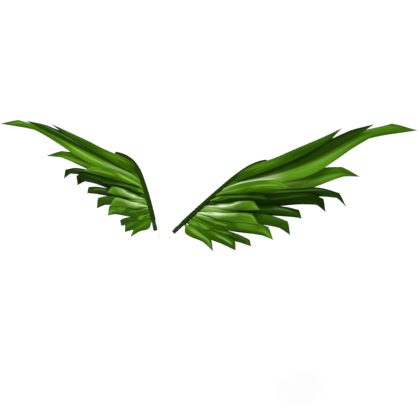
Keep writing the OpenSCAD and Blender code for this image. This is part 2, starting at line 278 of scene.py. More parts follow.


# How each blade is dyed and shaped. Its dyes are the satin's own greens and also painted
# light: painted highlights, painted sheen along the ridges and painted shade.
# upper, middle, lower: the dyes along its upper edge, its middle and its lower edge, from
#   root (0) to tip (1); they hold both its own greens and painted light and shade, such as a
#   lighter upper half.
# strokes: the brush strokes over that, of colour, painted highlights and painted shade. Each
#   is where it starts and ends along the blade, where it starts and ends across it (0 is the
#   lower edge, 1 the upper), half its width, its dye and its strength. left_strokes are on the
#   left wing only.
# left: which set of swaps in the left wing's table its left-hand copy takes, if not the usual ones.
# wide: how wide it is above and below its middle, in CAD widths, if not WIDE.
# waist: where its upper side is fuller still, over what part of its length, and how much.
# flare: how much wider its root is, if not FLARE or COVER_FLARE.
# ridge: where its crown lies (-1 is the lower edge, 1 the upper) and how sharp (2 is round).
# gloss: how glossy the satin is.
LEAVES = {
    "leaf_1": {
        "upper": "0 pine .12 grass .3 leaf .55 grass .8 grass 1 moss",
        "middle": "0 pine .12 moss .45 grass .6 moss .85 grass 1 moss",
        "lower": "0 moss .2 moss .5 grass .75 moss 1 pine",
        "strokes": [
            ".1 .5 .64 .58 .15 lime .7",
            ".2 .48 .3 .5 .14 leaf .7",
            ".45 .9 .35 .45 .12 pine .6",
            "-.1 .12 .9 .6 .3 ink .7",
            ".55 .95 .85 .8 .12 fern .6",
        ],
        "ridge": (0.0, 2.0),
        "gloss": 0.30,
    },
    "leaf_2": {
        "upper": "0 moss .3 moss .6 ink 1 ink",
        "middle": "0 fern .1 moss .3 pine 1 pine",
        "lower": "0 grass .3 moss .6 pine .8 pine 1 moss",
        # The slate stroke is a painted sheen along the ridge; the left wing's mist stroke is a
        # painted highlight.
        "strokes": [".2 .5 .35 .35 .12 slate .5", ".7 1.0 .3 .45 .2 moss .5"],
        "left_strokes": [".5 1.0 .36 .88 .13 mist 1"],
        "wide": (1.16, 0.72),
        "ridge": (0.15, 1.6),
        "gloss": 0.45,
    },
    "leaf_3": {
        "upper": "0 grass .5 leaf .72 lime .84 fern 1 grass",
        "middle": "0 straw .1 bloom .25 bloom .38 lime .6 bright .78 leaf 1 fern",
        "lower": "0 straw .2 bloom .35 lime .6 lime .75 leaf 1 grass",
        # The milk stroke is a painted highlight, and so is the left wing's spring stroke.
        "strokes": [
            "-.1 .34 .36 .28 .11 milk .75",
            ".28 .8 .3 .5 .16 bright .7",
            ".12 .42 .52 .64 .09 olive .8",
            ".7 .95 .9 .7 .14 lime .6",
            ".74 1.02 .08 .3 .13 grass .6",
        ],
        "left_strokes": [
            ".02 .32 .36 .34 .14 bloom .85",
            ".25 .6 .3 .56 .12 spring .85",
            ".5 .88 .28 .42 .2 moss .75",
            ".74 .96 .95 .6 .14 bright .7",
        ],
        "waist": (0.70, 0.09, 0.5),
        "ridge": (-0.1, 2.0),
        "gloss": 0.30,
    },
    "leaf_4": {
        "upper": "0 lime .3 leaf .55 leaf .75 fern 1 grass",
        "middle": "0 lime .4 leaf .7 fern 1 grass",
        "lower": "0 lime .4 lime .8 lime .9 leaf 1 fern",
        # The first stroke, bright and wide, is painted light over the root, where the blade above
        # casts its shadow.
        "strokes": [
            ".0 .7 .5 .3 .5 spring .9",
            ".4 .88 .54 .6 .06 moss .8",
            ".4 .95 .26 .33 .2 bright 1",
            ".45 .9 .8 .78 .14 leaf .6",
        ],
        "wide": (1.14, 1.14),
        "ridge": (-0.1, 1.5),
        "gloss": 0.28,
    },
    "leaf_5": {
        "upper": "0 bright .2 leaf .35 fern .5 moss .65 pine 1 ink",
        "middle": "0 lime .15 fern .35 moss .6 pine 1 pine",
        "lower": "0 leaf .2 moss .4 moss .7 pine 1 pine",
        # The mist stroke is a painted sheen along the ridge.
        "strokes": [".42 .88 .68 .8 .12 mist .75", ".3 .75 .3 .35 .2 moss .5"],
        "wide": (1.35, 1.35),
        "waist": (0.82, 0.10, 0.9),
        "ridge": (0.3, 1.5),
        "gloss": 0.42,
    },
    "leaf_6": {
        "upper": "0 slate .2 pine .5 pine 1 ink",
        "middle": "0 slate .15 pine .5 ink 1 ink",
        "lower": "0 moss .3 pine 1 ink",
        # The slate stroke is painted sheen, the mist one at the root a painted highlight.
        "strokes": [
            ".5 .82 .7 .85 .12 slate .7",
            ".6 .95 .35 .4 .2 pine .8",
            ".0 .2 .6 .4 .15 mist .6",
        ],
        "wide": (1.18, 1.18),
        "waist": (0.81, 0.12, 0.8),
        "ridge": (0.25, 1.7),
        "gloss": 0.40,
    },
    "leaf_7": {
        "upper": "0 bloom .1 straw .2 moss .5 pine 1 ink",
        "middle": "0 bloom .12 grass .35 moss .7 pine 1 moss",
        "lower": "0 straw .2 moss .45 moss .65 ink 1 ink",
        # The slate and mist strokes are painted sheen along the ridge.
        "strokes": [
            ".5 .98 .66 .7 .14 slate .95",
            ".68 .9 .84 .7 .1 mist .9",
            ".3 .75 .28 .42 .12 moss .7",
            ".0 .14 .7 .7 .2 milk .8",
        ],
        "wide": (1.18, 1.18),
        "ridge": (0.25, 1.5),
        "gloss": 0.42,
    },
    "leaf_8": {
        "upper": "0 leaf .15 bloom .3 lime .5 moss .7 grass 1 moss",
        "middle": "0 straw .2 lime .4 fern .55 moss .8 moss 1 pine",
        "lower": "0 grass .3 moss .7 moss 1 pine",
        # The slate and mist strokes are painted sheen.
        "strokes": [
            "-.1 .3 .78 .8 .16 bloom .6",
            ".6 .85 .8 .75 .15 slate .8",
            ".8 .95 .6 .7 .12 pine .7",
            ".85 1.0 .5 .55 .08 mist .5",
        ],
        "wide": (1.16, 1.16),
        "ridge": (0.3, 1.6),
        "gloss": 0.36,
    },
    "leaf_9": {
        # The white at its root, in the upper ramp and the second stroke, is painted light where the
        # cover leaves shade it.
        "upper": "0 milk .12 bloom .3 fern .6 leaf .85 grass 1 leaf",
        "middle": "0 bloom .15 straw .35 leaf .7 leaf 1 lime",
        "lower": "0 leaf .3 moss .6 pine .8 moss 1 fern",
        "strokes": [
            ".3 .8 .66 .76 .14 spring .55",
            "-.15 .3 .7 .6 .16 milk .6",
            ".75 1.15 .55 .3 .18 bright .7",
            ".4 1.0 .2 .24 .16 moss .6",
            ".8 .92 .95 .7 .08 moss .6",
        ],
        "wide": (1.10, 1.10),
        "ridge": (0.0, 2.0),
        "gloss": 0.26,
    },
    "leaf_10": {
        "left": "plain",
        "upper": "0 lime .3 leaf .5 fern .65 moss .85 pine 1 slate",
        "middle": "0 leaf .3 fern .6 moss 1 moss",
        "lower": "0 grass .3 grass .5 moss 1 pine",
        # The straw stroke is a painted highlight and the mist one painted sheen.
        "strokes": [
            "-.1 .3 .7 .75 .18 bright .8",
            ".3 .66 .62 .85 .2 lime .8",
            ".34 .64 .7 .82 .11 straw .6",
            ".68 1.05 .92 .62 .1 mist .6",
            ".6 1.0 .5 .55 .12 pine .5",
        ],
        "wide": (1.18, 1.18),
        "ridge": (0.3, 1.5),
        "gloss": 0.38,
    },
    "leaf_11": {
        "left": "plain",
        "upper": "0 leaf .15 bright .3 lime .5 fern .65 grass 1 moss",
        "middle": "0 leaf .25 leaf .45 grass .7 moss 1 moss",
        "lower": "0 fern .4 grass .6 moss 1 moss",
        # The second stroke is a painted highlight.
        "strokes": [
            "-.1 .3 .8 .6 .24 bright .8",
            ".5 .9 .76 .6 .15 bloom .85",
            ".3 .6 .9 .9 .1 lime .6",
        ],
        "wide": (1.18, 1.18),
        "ridge": (0.25, 1.5),
        "gloss": 0.38,
    },
    "leaf_12": {
        "left": "plain",
        "upper": "0 leaf .15 fern .5 grass 1 moss",
        "middle": "0 bright .2 leaf .6 leaf .85 leaf 1 grass",
        "lower": "0 leaf .2 grass .5 moss 1 moss",
        # The second stroke is a painted highlight.
        "strokes": [
            ".05 1.05 .82 .8 .09 pine .7",
            ".05 .98 .56 .68 .12 bloom .65",
            ".1 .65 .46 .5 .09 spring .5",
            ".2 .9 .25 .3 .1 moss .5",
        ],
        "wide": (1.0, 0.78),
        "flare": 0.20,
        "ridge": (0.1, 1.4),
        "gloss": 0.34,
    },
    "cover_leaf_1": {
        "upper": "0 leaf .15 straw .25 leaf .4 fern .6 fern .85 leaf 1 lime",
        "middle": "0 lime .2 olive .45 fern .6 leaf .8 lime 1 leaf",
        "lower": "0 bright .25 fern .5 grass .8 fern .92 lime 1 leaf",
        "strokes": [
            "-.15 .5 .12 .55 .17 bright .85",
            ".45 .9 .5 .56 .18 bright .9",
            ".25 .9 .34 .42 .06 moss .55",
            ".65 1.0 .86 .82 .1 bright .7",
            ".3 .6 .8 .86 .08 olive .6",
            ".84 1.0 .45 .35 .14 moss .6",
        ],
        "left_strokes": [
            "-.1 .55 .15 .85 .2 spring .75",
            ".3 1.05 .12 .25 .2 moss .8",
            ".3 .6 .08 .12 .08 mist .6",
        ],
        "ridge": (-0.1, 1.7),
        "gloss": 0.30,
    },
    "cover_leaf_2": {
        "upper": "0 leaf .12 leaf .3 fern .5 moss .7 ink 1 pine",
        "middle": "0 leaf .12 fern .22 pine .4 ink .7 ink 1 moss",
        "lower": "0 straw .1 slate .25 pine .35 ink .7 ink 1 pine",
        # The spring stroke is a painted highlight at the root; the mist and slate strokes are
        # painted sheen.
        "strokes": [
            "-.05 .24 .3 .8 .16 spring .9",
            ".12 .4 .05 .8 .12 mist .75",
            ".3 .75 .82 .6 .12 mist .8",
            ".6 1.15 .66 .4 .22 slate .95",
        ],
        "ridge": (0.2, 1.5),
        "gloss": 0.50,
    },
    "cover_leaf_3": {
        "left": "pale",
        "upper": "0 pine .3 ink .45 moss .58 bloom .7 olive .82 leaf 1 leaf",
        "middle": "0 slate .12 pine .24 moss .36 milk .5 bloom .64 olive .8 leaf 1 lime",
        "lower": "0 slate .08 bloom .16 milk .3 bloom .42 olive .55 fern .75 grass .9 leaf 1 fern",
        # The milk stroke is a painted highlight; the pale dyes of the ramps are partly the leaf's
        # own pale colour and partly painted highlight.
        "strokes": [
            ".0 .66 -.02 .9 .15 milk 1",
            ".45 .95 .36 .34 .12 fern .5",
            ".8 1.15 .8 .4 .22 bright .8",
            ".6 .8 .84 .86 .1 straw .7",
        ],
        "ridge": (0.1, 2.0),
        "gloss": 0.26,
    },
    "cover_leaf_4": {
        "left": "pale",
        "upper": "0 moss .14 moss .24 bloom .32 milk .56 bloom .68 olive .8 olive .9 lime 1 leaf",
        "middle": "0 bloom .12 milk .3 bloom .5 olive .66 fern .85 leaf 1 leaf",
        "lower": "0 milk .12 straw .25 fern .5 grass .7 leaf 1 lime",
        # The milk stroke is a painted highlight; the pale dyes of the ramps are partly the leaf's
        # own pale colour and partly painted highlight.
        "strokes": [
            "-.12 .46 -.02 .86 .15 milk 1",
            ".4 .85 .36 .3 .12 fern .5",
            ".64 .92 .84 .8 .1 straw .7",
            ".82 1.15 .85 .5 .2 bright .85",
        ],
        "ridge": (0.1, 2.0),
        "gloss": 0.26,
    },
    "cover_leaf_5": {
        "left": "plain",
        "upper": "0 grass .12 leaf .4 fern .7 grass 1 moss",
        "middle": "0 fern .3 moss .5 grass .7 moss 1 moss",
        "lower": "0 leaf .3 fern .6 moss 1 moss",
        # The straw stroke is a painted highlight.
        "strokes": [
            ".04 .5 .86 .84 .16 bright .75",
            "-.1 .55 .04 .1 .13 bright .8",
            ".42 .78 .84 .6 .13 straw .9",
            ".08 .75 .52 .4 .13 pine .75",
        ],
        "ridge": (-0.2, 1.5),
        "gloss": 0.40,
    },
    "cover_leaf_6": {
        "upper": "0 leaf .3 lime .6 bright .85 lime 1 fern",
        "middle": "0 fern .2 leaf .5 leaf .85 lime 1 fern",
        "lower": "0 leaf .4 lime .7 lime 1 fern",
        "strokes": [
            ".2 1.0 .86 .6 .2 bright .8",
            ".05 .25 .8 .75 .12 bloom .6",
            ".1 .4 .2 .3 .12 lime .6",
        ],
        "ridge": (0.1, 1.6),
        "gloss": 0.30,
    },
}

STROKE_FADE = 0.3  # the part of a stroke that it takes to come up, and to die away


def stroke(t, colour, along, across, text):
    """The colour with one brush stroke laid over it: a stroke of colour, of painted highlight or of
    painted shade.
    """
    words = text.split()
    start, end, first, last, half = (float(word) for word in words[:5])
    fade = STROKE_FADE * (end - start)
    centre = t.remap(along, start, end, first, last)
    off = t.math("ABSOLUTE", t.math("SUBTRACT", across, centre))
    cover = t.remap(off, half, 0.0, smooth=True)
    cover = t.times(cover, t.remap(along, start, start + fade, smooth=True))
    cover = t.times(cover, t.remap(along, end, end - fade, smooth=True))
    cover = t.times(cover, float(words[6]))
    return t.mix(cover, colour, dye_and_light(words[5]))


# ---------------------------------------------------------------- materials

# How close each pattern of the satin is, in times a metre along and across a blade.
WANDER = (14, 40, 1)
WOBBLE = (9, 9, 1)
COARSE_VEINS = (3, 260, 1)
FINE_VEINS = (12, 1500, 1)
CLOUDS = (30, 70, 1)
VEIN_DEPTH = 0.6 * MM
FINE_VEIN_DEPTH = 0.12 * MM
UNDERSIDE = 0.55  # how far the back of a blade goes to its darker, duller dye
CUT_EDGE = 0.2  # how dark the line of ink along its edges is
SHEEN = (0.6, 1.0, 0.25, 1.0)

# The same for the tape and the paper round the wires, along them and round them.
CREPE = (900, 260, 1)
PATCHES = (60, 60, 1)
PAPER = (1600, 500, 1)

# The tape's painted light across one turn, from its low side to its raised edge: a painted
# highlight at the low side, darkening to painted shade at the raised edge.
TAPE_PAINTED_SHADING = [
    (0.0, linear((42, 70, 16))),
    (0.12, linear((31, 57, 6))),
    (0.7, linear((25, 47, 2))),
    (1.0, linear((16, 32, 2))),
]

# Each plain material varies between two colours.
WIRE_GREENS = (linear((28, 52, 6)), linear((62, 98, 20)))
PLASTIC_GREYS = ((0.22, 0.27, 0.24, 1.0), (0.30, 0.35, 0.32, 1.0))
NYLON_WHITES = ((0.91, 0.93, 0.90, 1.0), (0.97, 0.98, 0.96, 1.0))
STEEL_GREYS = ((0.36, 0.37, 0.38, 1.0), (0.52, 0.53, 0.54, 1.0))
FLOOR_WHITES = ((0.93, 0.93, 0.93, 1.0), (0.95, 0.95, 0.95, 1.0))


def leaf_material(name, look):
    """The satin of one blade, dyed, with painted highlights, painted sheen and painted shade."""
    t = Tree("satin_" + name)
    _, blade = t.attribute("blade")
    fibre, _ = t.attribute("fibre")
    along, across, back = blade
    # The edges of the dyes and of the painted highlights and shade wander, as if brushed on by
    # hand.
    wander = t.between(t.noise(t.scaled(fibre, WANDER)), -0.04, 0.04)
    along = t.math("ADD", along, wander)
    wobble = t.between(t.noise(t.scaled(fibre, WOBBLE), detail=1.0), -0.06, 0.06)
    inked = t.math("ADD", across, wobble)
    high = t.remap(inked, 0.5, 0.92, smooth=True)
    low = t.remap(inked, 0.5, 0.08, smooth=True)
    # The ramps and strokes lay down the dyes, with painted highlights, painted sheen and painted
    # shade among them.
    colour = t.ramp(along, stops(look["middle"]))
    colour = t.mix(high, colour, t.ramp(along, stops(look["upper"])))
    colour = t.mix(low, colour, t.ramp(along, stops(look["lower"])))
    for text in look["strokes"]:
        colour = stroke(t, colour, along, inked, text)
    # Veins run the length of the blade, coarse ones and fine ones between them.
    coarse = t.noise(t.scaled(fibre, COARSE_VEINS), detail=1.0)
    fine = t.noise(t.scaled(fibre, FINE_VEINS), detail=2.0)
    cloud = t.noise(t.scaled(fibre, CLOUDS), detail=3.0, roughness=0.6)
    streaks = t.between(coarse, 0.85, 1.15)
    streaks = t.times(streaks, t.between(fine, 0.90, 1.10))
    streaks = t.times(streaks, t.between(cloud, 0.92, 1.08))
    colour = t.mix(1.0, colour, t.grey(streaks), "MULTIPLY")
    # The dye pools in a thin darker line at the cut edges.
    off_middle = t.math("ABSOLUTE", t.math("SUBTRACT", across, 0.5))
    edge = t.remap(off_middle, 0.47, 0.5, 0.0, CUT_EDGE)
    colour = t.mix(edge, colour, dye_and_light("ink"))
    # The back of the blade is darker and duller.
    colour = t.mix(t.times(back, UNDERSIDE), colour, t.mix(0.6, colour, dye_and_light("pine")))
    gloss = look["gloss"]
    rough = t.between(fine, 0.50 - 0.5 * gloss, 0.62 - 0.5 * gloss)
    rough = t.math("ADD", rough, t.times(back, 0.15))
    ribs = t.bump(coarse, VEIN_DEPTH, 0.6)
    ribs = t.bump(fine, FINE_VEIN_DEPTH, 0.5, ribs)
    return t.finish(
        Base_Color=colour,
        Roughness=rough,
        Specular_IOR_Level=0.03 * gloss,
        Specular_Tint=SHEEN,
        Normal=ribs,
    )


def tape_material():
    """Crepe tape, wound in a spiral, with a painted highlight and painted shade across each turn.
    """
    t = Tree("stem_tape")
    _, (c, s, along) = t.attribute("winding")
    wrap, _ = t.attribute("fibre")
    # From one edge of the tape to the other, as it winds round the stem: where each turn's painted
    # highlight and shade fall.
    phase = t.math("ARCTAN2", s, c)
    phase = t.remap(phase, -math.pi, math.pi)
    crepe = t.noise(t.scaled(wrap, CREPE), detail=2.0)
    patch = t.noise(t.scaled(wrap, PATCHES), detail=2.0)
    tone = t.times(t.between(crepe, 0.75, 1.25), t.between(patch, 0.8, 1.2))
    # It is darker near the foot, as in the photo.
    tone = t.times(tone, t.remap(along, 0.0, 0.03, 0.75, 1.0))
    return t.finish(
        Base_Color=t.mix(1.0, t.ramp(phase, TAPE_PAINTED_SHADING), t.grey(tone), "MULTIPLY"),
        Roughness=t.between(crepe, 0.60, 0.85),
        Specular_IOR_Level=0.02,
        Normal=t.bump(crepe, 0.2 * MM, 0.5),
    )


def wire_material():
    """The green paper round the leaf wires."""
    t = Tree("wire_paper")
    fibre, _ = t.attribute("fibre")
    grain = t.noise(t.scaled(fibre, PAPER), detail=2.0)
    return t.finish(
        Base_Color=t.mix(grain, *WIRE_GREENS),
        Roughness=t.between(grain, 0.55, 0.75),
        Specular_IOR_Level=0.3,
        Normal=t.bump(grain, 0.1 * MM, 0.5),
    )


def object_point(t):
    """Where on its own object the shaded point lies."""
    return t.add("ShaderNodeTexCoord").outputs["Object"]


def clear_material():
    """The plastic of the yoke and sockets, nearly invisible, as the photo shows neither."""
    t = Tree("clear_plastic")
    point = object_point(t)
    haze = t.noise(point, scale=90.0, detail=3.0)
    scuffs = t.noise(t.scaled(point, (900, 900, 120)))
    return t.finish(
        Base_Color=t.mix(haze, *PLASTIC_GREYS),
        Roughness=t.between(scuffs, 0.05, 0.15),
        Specular_IOR_Level=0.08,
        Alpha=t.between(haze, 0.010, 0.022),
        Normal=t.bump(haze, 0.1 * MM, 0.2),
    )


def nylon_material():
    """The white nylon of the pins, caps and screws."""
    t = Tree("nylon")
    point = object_point(t)
    grain = t.noise(point, scale=1400.0)
    cloud = t.noise(point, scale=160.0)
    return t.finish(
        Base_Color=t.mix(cloud, *NYLON_WHITES),
        Roughness=t.between(grain, 0.22, 0.37),
        Specular_IOR_Level=0.12,
        Normal=t.bump(grain, 0.05 * MM, 0.3),
    )


def steel_material():
    """The drawn steel of the stem cores."""
    t = Tree("steel")
    draw = t.noise(t.scaled(object_point(t), (2500, 2500, 40)))
    return t.finish(
        Base_Color=t.mix(draw, *STEEL_GREYS),
        Metallic=1.0,
        Roughness=t.between(draw, 0.25, 0.45),
        Normal=t.bump(draw, 0.02 * MM, 0.5),
    )


def floor_material():
    t = Tree("floor")
    mottle = t.noise(object_point(t), scale=6.0, detail=3.0)
    return t.finish(
        Base_Color=t.mix(mottle, *FLOOR_WHITES), Roughness=0.95, Specular_IOR_Level=0.0
    )


# ---------------------------------------------------------------- reading the CAD nodes

SAME = 0.01 * MM  # corners closer than this are one corner
RING = 10  # corners in one ring of a CAD blade
KNEE = 9  # the ring at which a blade bends over
BLADE_T = 0.9 * MM  # thickness of the satin
FOOT_RING = 0.5 * MM  # how far above the core's lowest corner its first ring reaches


def corners(name):
    """A CAD node's corners with copies merged, and the corners each one is joined to."""
    me = NODES[name].data
    index, points, ids = {}, [], []
    for v in me.vertices:
        key = tuple(round(c / SAME) for c in v.co)
        if key not in index:
            index[key] = len(points)
            points.append(v.co[:])
        ids.append(index[key])
    near = [set() for _ in points]
    for e in me.edges:
        a, b = (ids[i] for i in e.vertices)
        if a != b:
            near[a].add(b)
            near[b].add(a)
    return np.array(points), near


def layers(near, first):
    """Corners in rings, by how many edges they are from the first ones."""
    seen, ring, out = set(first), set(first), []
    while ring:
        out.append(sorted(ring))
        ring = set().union(*(near[i] for i in ring)) - seen
        seen |= ring
    return out


def blade_rings(name):
    """A CAD blade as its tip and its rings, root first."""
    points, near = corners(name)
    for i, links in enumerate(near):
        if len(links) != RING:
            continue
        rings = layers(near, [i])[1:]
        if all(len(ring) == RING for ring in rings):
            return points[i], [points[ring] for ring in reversed(rings)]
    raise RuntimeError("no tip found on " + name)


def unit(v):
    return v / np.linalg.norm(v)


def blade_lines(name):
    """Upper edge, lower edge, front direction and crown height of a blade from root to tip."""
    tip, rings = blade_rings(name)
    centres = np.array([ring.mean(0) for ring in rings])
    run = np.gradient(np.vstack([centres, tip]), axis=0)[:-1]
    side = []
    for ring, c in zip(rings, centres):
        s = np.linalg.svd(ring - c)[2][0]
        if side and s @ side[-1] < 0:
            s = -s
        side.append(s)
    side = np.array(side)
    widths = np.array([np.ptp((r - c) @ s) for r, c, s in zip(rings, centres, side)])
    widest = int(np.argmax(widths))
    if side[widest][2] < 0:
        side = -side
    front = np.array([unit(np.cross(t, s)) for t, s in zip(run, side)])
    if front[widest][1] > 0:
        front = -front
    crown = np.array([np.ptp((r - c) @ n) for r, c, n in zip(rings, centres, front)])
    crown = np.maximum(crown - BLADE_T, 0.0)
    middle = centres - 0.5 * crown[:, None] * front
    half = 0.5 * widths[:, None] * side
    return (
        np.vstack([middle + half, tip]),
        np.vstack([middle - half, tip]),
        np.vstack([front, front[-1]]),
        np.append(crown, 0.0),
    )


def spline(at, values, x):
    """A smooth curve through values at the given places, read at x."""
    values = np.asarray(values, float)
    flat = values.ndim == 1
    if flat:
        values = values[:, None]
    step = np.diff(at)[:, None]
    slope = np.diff(values, axis=0) / step
    tangent = np.vstack(
        [
            slope[:1],
            (slope[:-1] * step[1:] + slope[1:] * step[:-1]) / (step[1:] + step[:-1]),
            slope[-1:],
        ]
    )
    k = np.clip(np.searchsorted(at, x, side="right") - 1, 0, len(at) - 2)
    h = step[k]
    t = ((x - at[k]) / step[k, 0])[:, None]
    out = (
        (2 * t**3 - 3 * t**2 + 1) * values[k]
        + (t**3 - 2 * t**2 + t) * h * tangent[k]
        + (3 * t**2 - 2 * t**3) * values[k + 1]
        + (t**3 - t**2) * h * tangent[k + 1]
    )
    return out[:, 0] if flat else out


def distances(points):
    """How far along the line through the points each of them is."""
    return np.append(0.0, np.cumsum(np.linalg.norm(np.diff(points, axis=0), axis=1)))


def foot_of(side):
    """Where a stem's foot is, and which way the stem leaves it."""
    joint = JOINTS[side + "_wing_twist"]
    away = unit(np.array(joint["axis"], float))
    return np.array(joint["pos_m"], float), away if away[2] > 0 else -away


def stem_line(side):
    """Centre line of a stem, from the CAD core's rings."""
    foot, away = foot_of(side)
    points, near = corners(side + "_stem_core")
    height = (points - foot) @ away
    first = [i for i, h in enumerate(height) if h < height.min() + FOOT_RING]
    rings = [points[ring].mean(0) for ring in layers(near, first)]
    return np.array(rings)


# ---------------------------------------------------------------- meshes


def mesh_piece(name, points, faces, material, body, attributes):
    """A smooth piece that rides a body, with a vector of each attribute at each point."""
    me = bpy.data.meshes.new(name)
    me.from_pydata([tuple(p) for p in points], [], faces)
    me.validate()
    me.update()
    me.polygons.foreach_set("use_smooth", [True] * len(me.polygons))
    for key, values in attributes.items():
        layer = me.attributes.new(key, "FLOAT_VECTOR", "POINT")
        layer.data.foreach_set("vector", np.asarray(values, np.float32).ravel())
    me.materials.append(material)
    piece = bpy.data.objects.new(name, me)
    bpy.context.scene.collection.objects.link(piece)
    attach(piece, body)
    return piece


def stitch(rings, around):
    """Faces between rings that each have the same number of points, closed round."""
    faces = []
    for k in range(rings - 1):
        a, b = k * around, (k + 1) * around
        for j in range(around):
            n = (j + 1) % around
            faces.append((a + j, a + n, b + n, b + j))
    return faces


def outward(points, faces):
    """The faces, turned so that the closed mesh they make has its front outside."""
    p = np.asarray(points)
    total = 0.0
    for f in faces:
        for j in range(1, len(f) - 1):
            total += np.dot(p[f[0]], np.cross(p[f[j]], p[f[j + 1]]))
    return faces if total > 0 else [tuple(reversed(f)) for f in faces]


# ---------------------------------------------------------------- leaf blades

COLUMNS = 10  # steps from a blade's middle to one of its edges
STATION = 3.2 * MM  # about how far apart a long blade's rings are
STATIONS = 26  # the rings of a short blade
CROWDING = 1.12  # over 1, the rings get closer towards the tip
BURIED = 5.2 * MM  # a blade's root starts this far from the stem's centre line
REACH = 9.0 * MM  # and runs at most this far beyond its CAD node to get there
REACH_STEP = 0.25 * MM
ROOT_LEN = 26 * MM  # over this length a root widens and sinks into the tape
FLARE = 0.45  # how far each edge of a long leaf's root moves out, in CAD widths
COVER_FLARE = -0.15  # a cover leaf's root is narrower
ROOT_PROUD = 1.5 * MM  # how far a cover leaf's root stays in front of the others
WIDE = (1.06, 1.06)  # how wide a blade is above and below its middle, in CAD widths
EDGE_POWER = 7  # the higher, the squarer a blade's cut edges
THIN_TIP = 0.35  # thickness of the satin at a blade's tip, as a part of the whole
TIP_WIDTH = 3 * MM
FLUTES = 9.5  # how close the soft flutes across a blade are
FLUTE_DEPTH = 0.045  # as a part of the crown's height
FULL_WIDTH = 12 * MM  # a blade narrower than this has shallower flutes
WIRED = 0.62  # the part of a blade that its wire backs
SEED_STEP = 1.7  # sets the blades' places in the noise apart
LEFT_SEED = 0.6


def bent(at, values, x, knee):
    """A curve through values at the given places, smooth but for a corner at the knee."""
    before = x <= at[knee]
    return np.concatenate(
        [
            spline(at[: knee + 1], values[: knee + 1], x[before]),
            spline(at[knee:], values[knee:], x[~before]),
        ]
    )


def root_reach(root, back, stem):
    """How far a root runs on, along the direction back, to get into the tape."""
    reach = 0.0
    while reach < REACH:
        if np.linalg.norm(stem - (root + reach * back), axis=1).min() <= BURIED:
            break
        reach += REACH_STEP
    return reach


def widened(x, upper, lower, flare, look):
    """The edges moved apart: by how wide the blade is, its waist, and its root's flare."""
    above, below = look.get("wide", WIDE)
    if "waist" in look:
        place, spread, fill = look["waist"]
        above = above + fill * np.exp(-(((x / x[-1] - place) / spread) ** 2))[:, None]
    across = upper - lower
    return (
        upper + (flare + 0.5 * (above - 1)) * across,
        lower - (flare + 0.5 * (below - 1)) * across,
    )


def blade_stations(name, stem, look):
    """A blade's rings: places along it, edges, front directions and crown heights."""
    upper, lower, front, crown = blade_lines(name)
    knee = KNEE
    middle = (upper + lower) / 2
    at = distances(middle)
    back = unit(middle[0] - middle[1])
    reach = root_reach(middle[0], back, stem)
    if reach > 0:
        upper = np.vstack([upper[0] + reach * back, upper])
        lower = np.vstack([lower[0] + reach * back, lower])
        front = np.vstack([front[0], front])
        crown = np.append(crown[0], crown)
        at = np.append(0.0, at + reach)
        knee += 1
    count = max(STATIONS, int(at[-1] / STATION))
    even = np.linspace(0, 1, count + 1)
    x = at[-1] * (1 - (1 - even) ** CROWDING)
    x[np.argmin(np.abs(x - at[knee]))] = at[knee]
    upper, lower, front = (bent(at, values, x, knee) for values in (upper, lower, front))
    front /= np.linalg.norm(front, axis=1)[:, None]
    crown = np.maximum(bent(at, crown, x, knee), 0.0)
    # A long leaf's root is wider than its CAD node, so that it closes up with its
    # neighbours.
    near_root = np.exp(-((x / ROOT_LEN) ** 2))[:, None]
    flare = look.get("flare", COVER_FLARE if "cover" in name else FLARE)
    upper, lower = widened(x, upper, lower, flare * near_root, look)
    # The root goes into the side of the tape, not its front.
    root = (upper[0] + lower[0]) / 2
    stalk = stem[np.argmin(np.linalg.norm(stem - root, axis=1))]
    proud = (root - stalk) @ front[0] - (ROOT_PROUD if "cover" in name else 0.0)
    sink = proud * near_root * front[0]
    return x, upper - sink, lower - sink, front, crown


def ridge_height(v, ridge, power):
    """Height of the section at v, from 0 at the edges to 1 at the ridge."""
    reach = np.where(v > ridge, 1 - ridge, 1 + ridge)
    return 1 - np.abs((v - ridge) / reach) ** power


